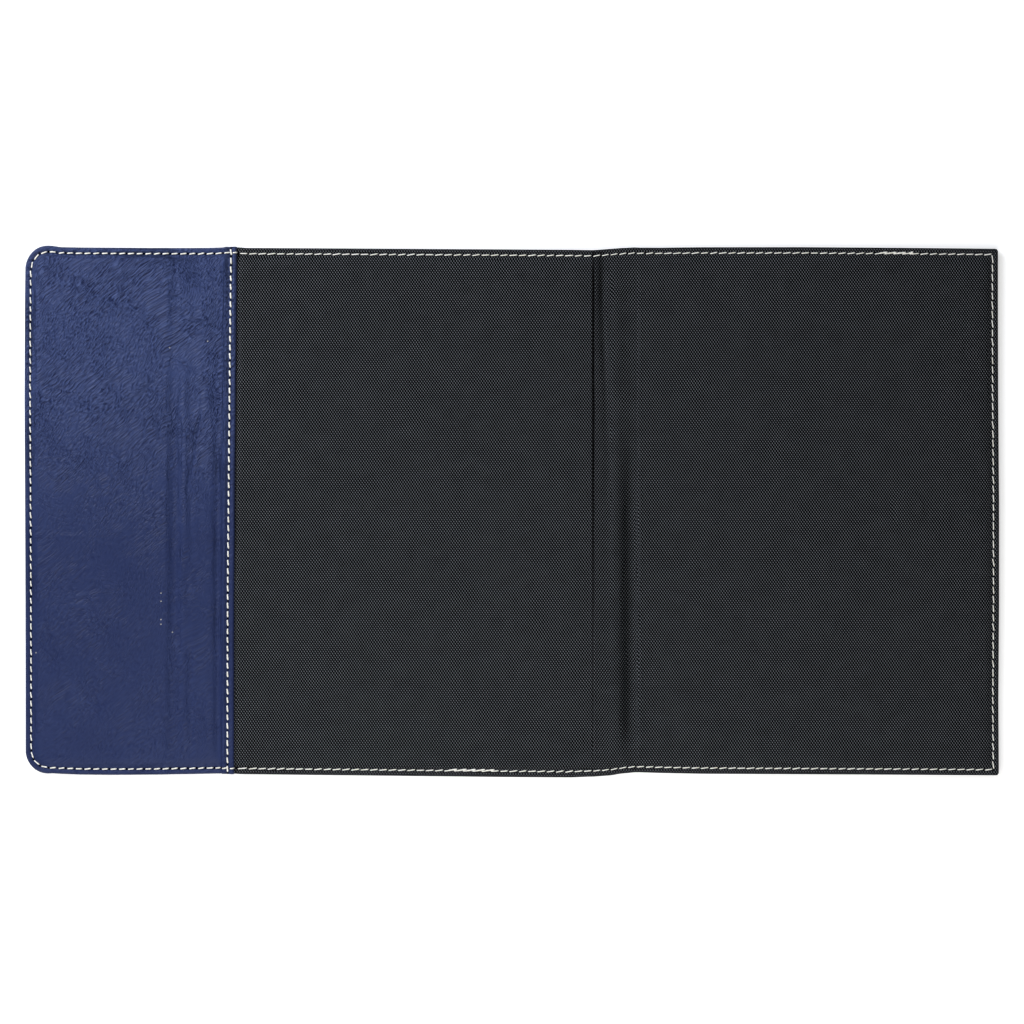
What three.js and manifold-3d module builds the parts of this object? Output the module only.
// Padfolio laid open with its outside up: front cover, soft spine, back cover, soft fold and wrap-round flap.
// Millimetres, +X towards the front cover's free edge, +Y towards its head, +Z out of the outside face.

import * as THREE from 'three';
import { mergeVertices } from 'three/addons/utils/BufferGeometryUtils.js';
import Module from 'manifold-3d';

const wasm = await Module();
wasm.setup();

// Driving sizes of the panels, measured along X between hinge lines and free edges
const coverHeight = 235;
const frontWidth = 162.7;
const spineWidth = 18.6;
const backWidth = 165.6;
const gussetWidth = 22.4;
const flapWidth = 65.7;

// Thickness of each layer
const clothThickness = 0.6;
const leatherThickness = 1.0;
const liningThickness = 0.4;
const pocketThickness = 0.6;
const boardThickness = 1.8;
const glueLine = 0.03;

// Edges and hinge lines
const flapCornerRadius = 10.5;
const frontCornerRadius = 1.2;
const foldGap = 0.3;
const boardInset = 4.8;
const boardFoldInset = 2.2;
const boardPlay = 0.3;
const shoulderRun = 1.0;
const shoulderDrop = 0.3;
const foldLedge = 1.0;
const beadWidth = 0.8;
const edgeRound = 0.3;
const liningInset = 0.9;
const ledgeDrop = 0.8;
const beadHeight = 0.3;
const cornerSteps = 6;

// Sewing
const stitchInset = 2.7;
const stitchPitch = 3.95;
const stitchRamp = 0.8;
const threadWidth = 0.8;
const threadHeight = 0.55;
const threadDip = 0.12;
const channelWidth = 1.6;

// Folded leather hem that overlaps the cloth of the back cover
const hemWidth = 6.3;
const hemPlies = 2;
const seamInset = 2.6;
const seamGroove = 0.45;
const seamGrooveWidth = 1.4;
const clothTongueStep = 0.6;

// Magnets of the closure
const magnetRadius = 7.8;
const frontMagnetThickness = 2.15;
const flapMagnetThickness = 1.6;
const magnetFromFlapEdge = 23;
const magnetAboveMiddle = 1.5;
const bumpShoulder = 1.5;

// Pockets of the inside
const pocketFoldInset = 4.2;
const padSleeveWidth = 132;
const documentPocketHeight = 168;

// Soft folds
const gussetCreaseHeight = 1.5;
const spineCreaseHeight = 1.5;
const foldFade = 14;

// The panels lie a fraction out of line with each other, as the cover settled when it was opened
const flapOffset = 0.28;
const backOffsetAtSpine = -0.77;
const frontOffsetAtSpine = 0.77;
const frontOffsetAtEdge = -0.32;

// Hinge lines and free edges along X, with the origin at the middle of the open width
const openWidth = frontWidth + spineWidth + backWidth + gussetWidth + flapWidth;
const frontEdge = openWidth / 2;
const frontFold = frontEdge - frontWidth;
const backFold = frontFold - spineWidth;
const gussetFold = backFold - backWidth;
const flapFold = gussetFold - gussetWidth;
const flapEdge = flapFold - flapWidth;
const head = coverHeight / 2;
const tail = -head;

// Heights of the layers of the two covers and the spine, from the pockets up
const liningLevel = pocketThickness + glueLine;
const boardLevel = liningLevel + liningThickness + glueLine;
const clothLevel = boardLevel + boardThickness + glueLine;
const clothTop = clothLevel + clothThickness;
const clothLedge = clothTop - ledgeDrop;

// Heights of the layers of the flap and its fold, which lie on the table beside the thicker covers
const flapBoardLevel = liningThickness + glueLine;
const leatherLevel = flapBoardLevel + boardThickness + glueLine;
const leatherTop = leatherLevel + leatherThickness;
const leatherLedge = leatherTop - ledgeDrop;

// Places that follow from the closed cover: the front cover's magnet lies under the flap's magnet
const flapMagnetX = flapEdge + magnetFromFlapEdge;
const closedFlapFoldX = gussetFold + liningLevel;
const closedMagnetX = closedFlapFoldX + (flapFold - flapMagnetX);
const frontMagnetX = frontFold + (backFold - closedMagnetX);

// Colours and finish of each material
const materials = {
  cloth: new THREE.MeshStandardMaterial({ color: '#2b2c2e', roughness: 0.85, metalness: 0 }),
  leather: new THREE.MeshStandardMaterial({ color: '#333d63', roughness: 0.5, metalness: 0 }),
  lining: new THREE.MeshStandardMaterial({ color: '#232427', roughness: 0.9, metalness: 0 }),
  pocket: new THREE.MeshStandardMaterial({ color: '#2c2d30', roughness: 0.8, metalness: 0 }),
  board: new THREE.MeshStandardMaterial({ color: '#8a8175', roughness: 0.95, metalness: 0 }),
  magnet: new THREE.MeshStandardMaterial({ color: '#b9bcc0', roughness: 0.3, metalness: 1 }),
  thread: new THREE.MeshStandardMaterial({ color: '#efe8d4', roughness: 0.8, metalness: 0 }),
};

// Outlines: a fold side lies beside a hinge line, and the corners of a free side are rounded
const flapOutline = {
  left: flapEdge, right: flapFold - foldGap, leftFold: false, rightFold: true, radius: flapCornerRadius,
};
const backOutline = {
  left: gussetFold + foldGap, right: backFold - foldGap, leftFold: true, rightFold: true, radius: 0,
};
const frontOutline = {
  left: frontFold + foldGap, right: frontEdge, leftFold: true, rightFold: false, radius: frontCornerRadius,
};

// Y offset of the cover at x, from the way its panels lie
function lieAt(x) {
  const knots = [
    [flapEdge, flapOffset],
    [gussetFold, flapOffset],
    [backFold, backOffsetAtSpine],
    [frontFold, frontOffsetAtSpine],
    [frontEdge, frontOffsetAtEdge],
  ];
  let next = knots.findIndex(([knotX]) => x < knotX);
  if (next < 1) next = next === 0 ? 1 : knots.length - 1;
  const [x0, y0] = knots[next - 1];
  const [x1, y1] = knots[next];
  return THREE.MathUtils.mapLinear(x, x0, x1, y0, y1);
}

function geometryOf(vertices, triangles) {
  const geometry = new THREE.BufferGeometry();
  geometry.setAttribute('position', new THREE.Float32BufferAttribute(vertices.flat(), 3));
  geometry.setIndex(triangles.flat());
  return geometry;
}

// Joins and cuts
function toSolid(geometry) {
  const bare = geometry.clone();
  bare.deleteAttribute('normal');
  bare.deleteAttribute('uv');
  const merged = mergeVertices(bare, 1e-4);
  return new wasm.Manifold(new wasm.Mesh({
    numProp: 3,
    vertProperties: new Float32Array(merged.attributes.position.array),
    triVerts: new Uint32Array(merged.index.array),
  }));
}

function fromSolid(solid) {
  const { vertProperties, triVerts } = solid.getMesh();
  const geometry = new THREE.BufferGeometry();
  geometry.setAttribute('position', new THREE.BufferAttribute(vertProperties, 3));
  geometry.setIndex(new THREE.BufferAttribute(triVerts, 1));
  return geometry;
}

// Corner points of an outline moved in by one amount at free edges and another at fold sides
function insetOutline(outline, edgeInset, foldInset) {
  const left = outline.left + (outline.leftFold ? foldInset : edgeInset);
  const right = outline.right - (outline.rightFold ? foldInset : edgeInset);
  const bottom = tail + edgeInset;
  const top = head - edgeInset;
  const radius = Math.max(outline.radius - edgeInset, 0.2);
  const corners = [
    { x: left, y: bottom, square: outline.leftFold, turn: Math.PI },
    { x: right, y: bottom, square: outline.rightFold, turn: 1.5 * Math.PI },
    { x: right, y: top, square: outline.rightFold, turn: 0 },
    { x: left, y: top, square: outline.leftFold, turn: 0.5 * Math.PI },
  ];
  return corners.flatMap(({ x, y, square, turn }) => {
    if (square) return [[x, y]];
    const middle = turn + Math.PI / 4;
    const centreX = x - radius * Math.sign(Math.cos(middle));
    const centreY = y - radius * Math.sign(Math.sin(middle));
    return Array.from({ length: cornerSteps + 1 }, (_, step) => {
      const angle = turn + (step / cornerSteps) * (Math.PI / 2);
      return [centreX + radius * Math.cos(angle), centreY + radius * Math.sin(angle)];
    });
  });
}

// Solid through a list of rings, from the ring of its upper cap outwards and round to its lower cap
function loftRings(rings) {
  const count = rings[0].length;
  const triangles = [];
  for (let i = 1; i < count - 1; i += 1) {
    const last = (rings.length - 1) * count;
    triangles.push([0, i, i + 1], [last, last + i + 1, last + i]);
  }
  for (let k = 0; k < rings.length - 1; k += 1) {
    for (let i = 0; i < count; i += 1) {
      const next = (i + 1) % count;
      const [a, b] = [k * count + i, k * count + next];
      const [d, c] = [a + count, b + count];
      triangles.push([a, d, c], [a, c, b]);
    }
  }
  return geometryOf(rings.flat(), triangles);
}

// Outer skin of a stiff panel: raised over its board, with a ledge for the stitches and a turned edge
function panelSkin(outline, bottomZ, boardTopZ, topZ) {
  const ledgeZ = topZ - ledgeDrop;
  const channelIn = stitchInset + channelWidth / 2;
  const channelOut = stitchInset - channelWidth / 2;
  const recess = boardInset - boardPlay;
  const foldRecess = boardFoldInset - boardPlay;
  const profile = [
    [topZ, boardInset + 0.6 * shoulderRun, boardFoldInset + 0.8 * shoulderRun],
    [topZ - shoulderDrop, boardInset - 0.4 * shoulderRun, boardFoldInset - 0.2 * shoulderRun],
    [ledgeZ, channelIn, foldLedge],
    [ledgeZ, channelOut, 0.6 * foldLedge],
    [ledgeZ + beadHeight, channelOut - beadWidth, 0.4 * foldLedge],
    [ledgeZ + beadHeight / 2, edgeRound, 0.1 * foldLedge],
    [(ledgeZ + bottomZ) / 2, 0, 0],
    [bottomZ, edgeRound, 0],
    [bottomZ, recess, foldRecess],
    [boardTopZ, recess, foldRecess],
  ];
  return loftRings(profile.map(([z, edgeInset, foldInset]) => (
    insetOutline(outline, edgeInset, foldInset).map(([x, y]) => [x, y, z])
  )));
}

// Flat sheet cut to an outline, with any round holes, its lower face at zero
function flatSheet(points, thickness, holes = []) {
  const shape = new THREE.Shape(points.map(([x, y]) => new THREE.Vector2(x, y)));
  for (const { x, y, radius } of holes) {
    shape.holes.push(new THREE.Path().absarc(x, y, radius, 0, 2 * Math.PI, true));
  }
  return new THREE.ExtrudeGeometry(shape, { depth: thickness, bevelEnabled: false, curveSegments: 16 });
}

function rectangle(left, right, bottom, top) {
  return [[left, bottom], [right, bottom], [right, top], [left, top]];
}

function disc(radius, thickness) {
  const geometry = new THREE.CylinderGeometry(radius, radius, thickness, 32);
  geometry.rotateX(Math.PI / 2);
  geometry.translate(0, 0, thickness / 2);
  return geometry;
}

// Soft strip of a fold: a grid whose upper and lower faces follow two height functions
function softStrip(xs, ys, upper, lower) {
  const vertices = [];
  for (const height of [upper, lower]) {
    for (const y of ys) for (const x of xs) vertices.push([x, y, height(x, y)]);
  }
  const columns = xs.length;
  const half = columns * ys.length;
  const triangles = [];
  for (let j = 0; j < ys.length - 1; j += 1) {
    for (let i = 0; i < columns - 1; i += 1) {
      const a = j * columns + i;
      const [b, c, d] = [a + 1, a + columns + 1, a + columns];
      triangles.push([a, b, c], [a, c, d], [a + half, c + half, b + half], [a + half, d + half, c + half]);
    }
  }
  const rim = [];
  for (let i = 0; i < columns - 1; i += 1) rim.push(i);
  for (let j = 0; j < ys.length - 1; j += 1) rim.push(j * columns + columns - 1);
  for (let i = columns - 1; i > 0; i -= 1) rim.push((ys.length - 1) * columns + i);
  for (let j = ys.length - 1; j > 0; j -= 1) rim.push(j * columns);
  rim.forEach((a, k) => {
    const b = rim[(k + 1) % rim.length];
    triangles.push([a, a + half, b + half], [a, b + half, b]);
  });
  return geometryOf(vertices, triangles);
}

// Grid lines of a fold: fine near its hemmed ends, even between them
function stripLines(count) {
  const hem = stitchInset + channelWidth / 2;
  const inner = head - hem - foldFade / 2;
  const middle = Array.from({ length: count + 1 }, (_, k) => -inner + (2 * inner * k) / count);
  return [tail, tail + 0.5, tail + hem, ...middle, head - hem, head - 0.5, head];
}

// How far a crease has risen at y: nothing on the sewn hem, all of it past the fade
function riseAt(y) {
  const hem = stitchInset + channelWidth / 2;
  return THREE.MathUtils.smoothstep(head - Math.abs(y), hem, hem + foldFade);
}

function roundEnd(y) {
  return Math.abs(y) > head - 0.25 ? 0.25 : 0;
}

function ridge(distance, width) {
  return Math.exp(-((distance / width) ** 2));
}

// One continuous thread: each stitch rises over the surface and dips into its needle hole
function sewnThread(legs) {
  const stations = [];
  legs.forEach((leg) => {
    const stitches = Math.max(1, Math.round(leg.getLength() / stitchPitch));
    const ramp = stitchRamp / (leg.getLength() / stitches);
    const places = [[0, threadDip], [ramp, threadHeight], [1 - ramp, threadHeight]];
    for (let k = 0; k < stitches; k += 1) {
      for (const [share, height] of places) {
        const u = (k + share) / stitches;
        stations.push({ point: leg.getPointAt(u), along: leg.getTangentAt(u), height });
      }
    }
    stations.push({ point: leg.getPointAt(1), along: leg.getTangentAt(1), height: threadDip });
  });
  const merged = stations.filter(({ point }, k) => k === 0 || point.distanceTo(stations[k - 1].point) > 1e-3);
  merged.forEach((station) => {
    const twin = stations.filter(({ point }) => point.distanceTo(station.point) <= 1e-3);
    station.side = twin.reduce((sum, { along }) => sum.add(along), new THREE.Vector2()).normalize();
  });
  const vertices = merged.flatMap(({ point, side, height }) => [
    [point.x - (side.y * threadWidth) / 2, point.y + (side.x * threadWidth) / 2, 0],
    [point.x + (side.y * threadWidth) / 2, point.y - (side.x * threadWidth) / 2, 0],
    [point.x, point.y, height],
  ]);
  const triangles = [[0, 1, 2]];
  for (let a = 0; a < vertices.length - 3; a += 3) {
    const [l, r, t] = [a + 3, a + 4, a + 5];
    triangles.push([a, t, l], [a, a + 2, t]);
    triangles.push([a + 1, r, t], [a + 1, t, a + 2]);
    triangles.push([a, l, r], [a, r, a + 1]);
  }
  const end = vertices.length - 3;
  triangles.push([end, end + 2, end + 1]);
  return geometryOf(vertices, triangles);
}

function line(x0, y0, x1, y1) {
  return new THREE.LineCurve(new THREE.Vector2(x0, y0), new THREE.Vector2(x1, y1));
}

// A mesh in its place, laid a fraction out of line as its panel lies
function piece(name, material, geometry, level = 0) {
  const position = geometry.attributes.position;
  for (let i = 0; i < position.count; i += 1) {
    position.setY(i, position.getY(i) + lieAt(position.getX(i)));
  }
  geometry.computeVertexNormals();
  const mesh = new THREE.Mesh(geometry, material);
  mesh.name = name;
  mesh.position.z = level;
  return mesh;
}

// Back cover: board between cloth and lining, with the sleeve that takes the writing pad's card back
const stitchTop = head - stitchInset;
const stitchBottom = tail + stitchInset;
const tongueTop = boardLevel + clothTongueStep;
const hemRight = gussetFold + foldGap + hemWidth;
const seamX = hemRight - seamInset;

function backCloth() {
  const skin = toSolid(panelSkin(backOutline, boardLevel, clothLevel, clothTop));
  const cutRight = hemRight + foldGap;
  const cutter = flatSheet(rectangle(gussetFold - 5, cutRight, tail - 5, head + 5), 10);
  cutter.translate(0, 0, tongueTop);
  const boardSide = flatSheet(rectangle(gussetFold - 5, cutRight + boardFoldInset, tail - 5, head + 5), 10);
  boardSide.translate(0, 0, boardLevel - 10);
  const filling = flatSheet(
    rectangle(backOutline.left, cutRight + boardFoldInset - boardPlay, tail + 0.5, head - 0.5),
    clothThickness,
  );
  filling.translate(0, 0, boardLevel);
  return fromSolid(skin.add(toSolid(filling)).subtract(toSolid(cutter)).subtract(toSolid(boardSide)));
}

function backBoard() {
  const left = hemRight + foldGap + boardFoldInset;
  const right = backOutline.right - boardFoldInset;
  return flatSheet(rectangle(left, right, tail + boardInset, head - boardInset), boardThickness);
}

function leatherHem() {
  const left = gussetFold + foldGap;
  const thickness = hemPlies * leatherThickness;
  const grooveHalf = seamGrooveWidth / 2;
  const section = new THREE.Shape();
  section.moveTo(left, 0);
  section.lineTo(hemRight, 0);
  section.lineTo(hemRight, thickness - 0.6);
  section.quadraticCurveTo(hemRight, thickness, hemRight - 0.6, thickness);
  section.lineTo(seamX + grooveHalf, thickness - seamGroove);
  section.lineTo(seamX - grooveHalf, thickness - seamGroove);
  section.lineTo(seamX - grooveHalf - 0.5, thickness);
  section.lineTo(left + 0.9, thickness - 0.1);
  section.quadraticCurveTo(left, thickness - 0.4, left, thickness - 1.1);
  const geometry = new THREE.ExtrudeGeometry(section, { depth: coverHeight, bevelEnabled: false, curveSegments: 4 });
  geometry.rotateX(Math.PI / 2);
  geometry.translate(0, head, 0);
  return geometry;
}

const hemLevel = tongueTop + glueLine;
const seamLevel = hemLevel + hemPlies * leatherThickness - seamGroove + glueLine;
const threadLevel = clothLedge + glueLine;
const backThreadLeft = hemRight + 1;
const liningOf = (outline) => flatSheet(insetOutline(outline, liningInset, 0), liningThickness);
const padSleeve = rectangle(
  hemRight,
  hemRight + padSleeveWidth,
  tail + liningInset,
  head - liningInset,
);

const back = new THREE.Group();
back.add(
  piece('back_cover_cloth', materials.cloth, backCloth()),
  piece('back_board', materials.board, backBoard(), boardLevel),
  piece('back_lining', materials.lining, liningOf(backOutline), liningLevel),
  piece('pad_sleeve', materials.pocket, flatSheet(padSleeve, pocketThickness)),
  piece('leather_hem', materials.leather, leatherHem(), hemLevel),
  piece('hem_thread', materials.thread, sewnThread([line(seamX, head - 1, seamX, tail + 1)]), seamLevel),
);
for (const [name, y] of [['back_head_thread', stitchTop], ['back_tail_thread', stitchBottom]]) {
  const run = line(backThreadLeft, y, backOutline.right - 1, y);
  back.add(piece(name, materials.thread, sewnThread([run]), threadLevel));
}

// Spine: cloth and lining only, so that it folds
const spineOutline = {
  left: backFold + foldGap, right: frontFold - foldGap, leftFold: true, rightFold: true, radius: 0,
};
const spineCloth = () => {
  const share = [0, 0.05, 0.14, 0.26, 0.36, 0.46, 0.56, 0.66, 0.78, 0.9, 1];
  const xs = share.map((s) => THREE.MathUtils.lerp(spineOutline.left, spineOutline.right, s));
  const swell = (x) => {
    const s = (x - spineOutline.left) / (spineOutline.right - spineOutline.left);
    const hump = ridge(s - 0.42, 0.24) + 0.35 * ridge(s - 0.12, 0.12);
    return spineCreaseHeight * hump * THREE.MathUtils.smoothstep(Math.min(s, 1 - s), 0, 0.1);
  };
  const lower = (x, y) => boardLevel + swell(x) * riseAt(y);
  const upper = (x, y) => lower(x, y) + clothThickness - roundEnd(y);
  return softStrip(xs, stripLines(8), upper, lower);
};
const spineThreadLevel = boardLevel + clothThickness + glueLine;

const spine = new THREE.Group();
spine.add(
  piece('spine_cloth', materials.cloth, spineCloth()),
  piece('spine_lining', materials.lining, liningOf(spineOutline), liningLevel),
);
for (const [name, y] of [['spine_head_thread', stitchTop], ['spine_tail_thread', stitchBottom]]) {
  const run = line(spineOutline.left + 0.8, y, spineOutline.right - 0.8, y);
  spine.add(piece(name, materials.thread, sewnThread([run]), spineThreadLevel));
}

// Front cover: board with the closure's magnet, which lifts the cloth in a round bump
const frontMagnetPlace = { x: frontMagnetX, y: magnetAboveMiddle, radius: magnetRadius + boardPlay };

function frontCloth() {
  const { x, y, radius } = frontMagnetPlace;
  const lift = frontMagnetThickness - boardThickness + glueLine;
  const outer = [
    [0, 0], [radius + bumpShoulder, 0], [radius + bumpShoulder, clothThickness],
    [radius + 0.7, clothThickness + lift * 0.35], [radius - 0.2, clothThickness + lift * 0.9],
    [radius - 1.5, clothThickness + lift], [0, clothThickness + lift],
  ];
  const bump = new THREE.LatheGeometry(outer.map(([r, z]) => new THREE.Vector2(r, z)), 32);
  bump.rotateX(Math.PI / 2);
  bump.translate(x, y, clothLevel);
  const hollow = disc(radius, lift + 1);
  hollow.translate(x, y, clothLevel - 1);
  const skin = toSolid(panelSkin(frontOutline, boardLevel, clothLevel, clothTop));
  return fromSolid(skin.add(toSolid(bump)).subtract(toSolid(hollow)));
}

const frontMagnet = disc(magnetRadius, frontMagnetThickness);
frontMagnet.translate(frontMagnetX, magnetAboveMiddle, 0);
const documentPocket = rectangle(
  frontFold + pocketFoldInset,
  frontEdge - liningInset,
  tail + liningInset,
  tail + liningInset + documentPocketHeight,
);
const frontStitchRight = frontEdge - stitchInset;

const front = new THREE.Group();
front.add(
  piece('front_cover_cloth', materials.cloth, frontCloth()),
  piece(
    'front_board',
    materials.board,
    flatSheet(insetOutline(frontOutline, boardInset, boardFoldInset), boardThickness, [frontMagnetPlace]),
    boardLevel,
  ),
  piece('front_magnet', materials.magnet, frontMagnet, boardLevel),
  piece('front_lining', materials.lining, liningOf(frontOutline), liningLevel),
  piece('document_pocket', materials.pocket, flatSheet(documentPocket, pocketThickness)),
  piece(
    'front_thread',
    materials.thread,
    sewnThread([
      line(frontOutline.left + 1, stitchTop, frontStitchRight, stitchTop),
      line(frontStitchRight, stitchTop, frontStitchRight, stitchBottom),
      line(frontStitchRight, stitchBottom, frontOutline.left + 1, stitchBottom),
    ]),
    threadLevel,
  ),
);

// Soft fold of the flap: leather and lining only, creased along its length
const gussetOutline = {
  left: flapFold + foldGap, right: gussetFold - foldGap, leftFold: true, rightFold: true, radius: 0,
};
const gussetLeather = () => {
  const share = [0, 0.05, 0.13, 0.2, 0.27, 0.34, 0.42, 0.5, 0.58, 0.66, 0.74, 0.83, 0.92, 1];
  const xs = share.map((s) => THREE.MathUtils.lerp(gussetOutline.left, gussetOutline.right, s));
  const swell = (x, y) => {
    const s = (x - gussetOutline.left) / (gussetOutline.right - gussetOutline.left);
    const wander = 0.03 * Math.sin(y / 23) + 0.02 * Math.sin(y / 9.5 + 1);
    const ridges = ridge(s - 0.22, 0.07)
      + 0.75 * ridge(s - 0.42 - wander, 0.06) * (0.7 + 0.3 * Math.sin(y / 17))
      + 0.7 * ridge(s - 0.59 + wander, 0.07) * (0.7 + 0.3 * Math.cos(y / 21))
      + 0.6 * ridge(s - 0.8, 0.1);
    return gussetCreaseHeight * ridges * THREE.MathUtils.smoothstep(Math.min(s, 1 - s), 0, 0.1);
  };
  const lower = () => flapBoardLevel;
  const upper = (x, y) => flapBoardLevel + leatherThickness + swell(x, y) * riseAt(y) - roundEnd(y);
  return softStrip(xs, stripLines(18), upper, lower);
};
const gussetThreadLevel = flapBoardLevel + leatherThickness + glueLine;

const gusset = new THREE.Group();
gusset.add(
  piece('gusset_leather', materials.leather, gussetLeather()),
  piece('gusset_lining', materials.lining, liningOf(gussetOutline)),
);
for (const [name, y] of [['gusset_head_thread', stitchTop], ['gusset_tail_thread', stitchBottom]]) {
  const run = line(gussetOutline.left + 0.8, y, gussetOutline.right - 0.8, y);
  gusset.add(piece(name, materials.thread, sewnThread([run]), gussetThreadLevel));
}

// Flap: leather over its own board, with the magnet that meets the front cover's
const flapMagnetPlace = { x: flapMagnetX, y: magnetAboveMiddle, radius: magnetRadius + boardPlay };
const flapMagnet = disc(magnetRadius, flapMagnetThickness);
flapMagnet.translate(flapMagnetX, magnetAboveMiddle, 0);

function flapSewing() {
  const start = flapOutline.right - 1;
  const edge = flapEdge + stitchInset;
  const radius = flapCornerRadius - stitchInset;
  const corner = (y, from, to) => (
    new THREE.EllipseCurve(edge + radius, y, radius, radius, from, to, false)
  );
  return [
    line(start, stitchTop, edge + radius, stitchTop),
    corner(stitchTop - radius, Math.PI / 2, Math.PI),
    line(edge, stitchTop - radius, edge, stitchBottom + radius),
    corner(stitchBottom + radius, Math.PI, 1.5 * Math.PI),
    line(edge + radius, stitchBottom, start, stitchBottom),
  ];
}

const flap = new THREE.Group();
flap.add(
  piece('flap_leather', materials.leather, panelSkin(flapOutline, flapBoardLevel, leatherLevel, leatherTop)),
  piece(
    'flap_board',
    materials.board,
    flatSheet(insetOutline(flapOutline, boardInset, boardFoldInset), boardThickness, [flapMagnetPlace]),
    flapBoardLevel,
  ),
  piece('flap_magnet', materials.magnet, flapMagnet, flapBoardLevel),
  piece('flap_lining', materials.lining, liningOf(flapOutline)),
  piece('flap_thread', materials.thread, sewnThread(flapSewing()), leatherLedge + glueLine),
);

const padfolio = new THREE.Group();
padfolio.add(back, spine, front, gusset, flap);

export default padfolio;
